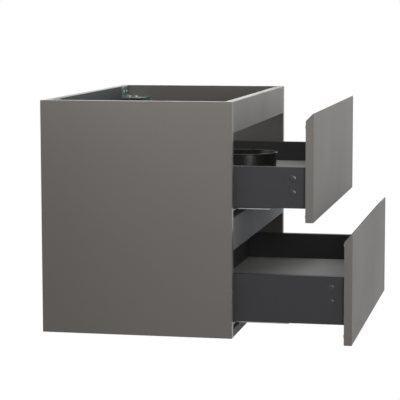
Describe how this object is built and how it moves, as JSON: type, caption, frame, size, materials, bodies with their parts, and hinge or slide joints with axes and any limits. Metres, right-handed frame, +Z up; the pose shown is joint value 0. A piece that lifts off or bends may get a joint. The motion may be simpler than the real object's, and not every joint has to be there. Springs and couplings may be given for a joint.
{
  "type": "wall-hung bathroom vanity",
  "caption": "Wall-hung bathroom vanity with handleless drawers on undermount runners, an open top for a basin and a siphon recess in the upper drawer.",
  "frame": {"origin": "wall plane, at the middle of the width and at the underside of the carcass", "axes": "+X to the right seen from the front, +Y into the wall, +Z up; the drawers open towards -Y"},
  "size_m": [0.75, 0.709, 0.536],
  "materials": {
    "carcass_board": "matt grey melamine-faced board",
    "front_board": "matt grey melamine-faced board",
    "drawer_board": "anthracite board with a fine linen grain",
    "bottom_board": "matt grey melamine-faced board",
    "runner_steel": "bright zinc plating",
    "cage_steel": "stamped steel with bright balls",
    "hanger_steel": "blue-passivated zinc plating",
    "screw_steel": "bright zinc plating",
    "cast_zinc": "die-cast zinc",
    "beech_dowel": "raw beech",
    "cap_plastic": "satin anthracite plastic",
    "clip_plastic": "black moulded plastic",
    "bumper_pad": "translucent grey pad",
    "liner_plastic": "glossy dark grey moulded plastic"
  },
  "bodies": {
    "cabinet": {"side_panel_left": "carcass_board", "side_panel_right": "carcass_board", "bottom_panel": "carcass_board", "top_front_rail": "carcass_board", "mid_front_rail": "carcass_board", "rear_top_rail": "carcass_board", "rear_bottom_rail": "carcass_board", "carcass_dowels": "beech_dowel", "carcass_screws": "screw_steel", "hanger_bracket_left": "hanger_steel", "hanger_bracket_right": "hanger_steel", "hanger_hook_left": "hanger_steel", "hanger_hook_right": "hanger_steel", "hanger_adjusters": "screw_steel", "wall_plate_left": "hanger_steel", "wall_plate_right": "hanger_steel", "upper_cabinet_rail_left": "runner_steel", "upper_cabinet_rail_right": "runner_steel", "lower_cabinet_rail_left": "runner_steel", "lower_cabinet_rail_right": "runner_steel"},
    "upper_drawer": {"upper_front": "front_board", "upper_side_left": "drawer_board", "upper_side_right": "drawer_board", "upper_back_left": "drawer_board", "upper_back_right": "drawer_board", "upper_bottom": "bottom_board", "siphon_liner": "liner_plastic", "upper_cam_housings": "cast_zinc", "upper_cam_caps": "cap_plastic", "upper_cam_bolts": "screw_steel", "upper_dowels": "beech_dowel", "upper_drawer_rail_left": "runner_steel", "upper_drawer_rail_right": "runner_steel", "upper_clips": "clip_plastic", "upper_bumpers": "bumper_pad"},
    "lower_drawer": {"lower_front": "front_board", "lower_side_left": "drawer_board", "lower_side_right": "drawer_board", "lower_back": "drawer_board", "lower_bottom": "bottom_board", "lower_cam_housings": "cast_zinc", "lower_cam_caps": "cap_plastic", "lower_cam_bolts": "screw_steel", "lower_dowels": "beech_dowel", "lower_drawer_rail_left": "runner_steel", "lower_drawer_rail_right": "runner_steel", "lower_clips": "clip_plastic", "lower_bumpers": "bumper_pad"},
    "upper_middle_rail_left": {"upper_middle_rail_left": "runner_steel"},
    "upper_outer_cage_left": {"upper_outer_cage_left": "cage_steel"},
    "upper_inner_cage_left": {"upper_inner_cage_left": "cage_steel"},
    "upper_middle_rail_right": {"upper_middle_rail_right": "runner_steel"},
    "upper_outer_cage_right": {"upper_outer_cage_right": "cage_steel"},
    "upper_inner_cage_right": {"upper_inner_cage_right": "cage_steel"},
    "lower_middle_rail_left": {"lower_middle_rail_left": "runner_steel"},
    "lower_outer_cage_left": {"lower_outer_cage_left": "cage_steel"},
    "lower_inner_cage_left": {"lower_inner_cage_left": "cage_steel"},
    "lower_middle_rail_right": {"lower_middle_rail_right": "runner_steel"},
    "lower_outer_cage_right": {"lower_outer_cage_right": "cage_steel"},
    "lower_inner_cage_right": {"lower_inner_cage_right": "cage_steel"}
  },
  "joints": [
    {"name": "upper_drawer_slide", "type": "slide", "parent": "cabinet", "child": "upper_drawer", "axis": [0, -1, 0], "range_m": [-0.162, 0.188]},
    {"name": "lower_drawer_slide", "type": "slide", "parent": "cabinet", "child": "lower_drawer", "axis": [0, -1, 0], "range_m": [-0.249, 0.101]},
    {"name": "upper_middle_rail_left_slide", "type": "slide", "parent": "cabinet", "child": "upper_middle_rail_left", "axis": [0, -1, 0], "range_m": [-0.081, 0.094]},
    {"name": "upper_outer_cage_left_slide", "type": "slide", "parent": "cabinet", "child": "upper_outer_cage_left", "axis": [0, -1, 0], "range_m": [-0.0405, 0.047]},
    {"name": "upper_inner_cage_left_slide", "type": "slide", "parent": "cabinet", "child": "upper_inner_cage_left", "axis": [0, -1, 0], "range_m": [-0.1215, 0.141]},
    {"name": "upper_middle_rail_right_slide", "type": "slide", "parent": "cabinet", "child": "upper_middle_rail_right", "axis": [0, -1, 0], "range_m": [-0.081, 0.094]},
    {"name": "upper_outer_cage_right_slide", "type": "slide", "parent": "cabinet", "child": "upper_outer_cage_right", "axis": [0, -1, 0], "range_m": [-0.0405, 0.047]},
    {"name": "upper_inner_cage_right_slide", "type": "slide", "parent": "cabinet", "child": "upper_inner_cage_right", "axis": [0, -1, 0], "range_m": [-0.1215, 0.141]},
    {"name": "lower_middle_rail_left_slide", "type": "slide", "parent": "cabinet", "child": "lower_middle_rail_left", "axis": [0, -1, 0], "range_m": [-0.1245, 0.0505]},
    {"name": "lower_outer_cage_left_slide", "type": "slide", "parent": "cabinet", "child": "lower_outer_cage_left", "axis": [0, -1, 0], "range_m": [-0.06225, 0.02525]},
    {"name": "lower_inner_cage_left_slide", "type": "slide", "parent": "cabinet", "child": "lower_inner_cage_left", "axis": [0, -1, 0], "range_m": [-0.18675, 0.07575]},
    {"name": "lower_middle_rail_right_slide", "type": "slide", "parent": "cabinet", "child": "lower_middle_rail_right", "axis": [0, -1, 0], "range_m": [-0.1245, 0.0505]},
    {"name": "lower_outer_cage_right_slide", "type": "slide", "parent": "cabinet", "child": "lower_outer_cage_right", "axis": [0, -1, 0], "range_m": [-0.06225, 0.02525]},
    {"name": "lower_inner_cage_right_slide", "type": "slide", "parent": "cabinet", "child": "lower_inner_cage_right", "axis": [0, -1, 0], "range_m": [-0.18675, 0.07575]}
  ],
  "couplings": [
    {"joint": "upper_middle_rail_left_slide", "follows": "upper_drawer_slide", "ratio": 0.5},
    {"joint": "upper_outer_cage_left_slide", "follows": "upper_drawer_slide", "ratio": 0.25},
    {"joint": "upper_inner_cage_left_slide", "follows": "upper_drawer_slide", "ratio": 0.75},
    {"joint": "upper_middle_rail_right_slide", "follows": "upper_drawer_slide", "ratio": 0.5},
    {"joint": "upper_outer_cage_right_slide", "follows": "upper_drawer_slide", "ratio": 0.25},
    {"joint": "upper_inner_cage_right_slide", "follows": "upper_drawer_slide", "ratio": 0.75},
    {"joint": "lower_middle_rail_left_slide", "follows": "lower_drawer_slide", "ratio": 0.5},
    {"joint": "lower_outer_cage_left_slide", "follows": "lower_drawer_slide", "ratio": 0.25},
    {"joint": "lower_inner_cage_left_slide", "follows": "lower_drawer_slide", "ratio": 0.75},
    {"joint": "lower_middle_rail_right_slide", "follows": "lower_drawer_slide", "ratio": 0.5},
    {"joint": "lower_outer_cage_right_slide", "follows": "lower_drawer_slide", "ratio": 0.25},
    {"joint": "lower_inner_cage_right_slide", "follows": "lower_drawer_slide", "ratio": 0.75}
  ]
}
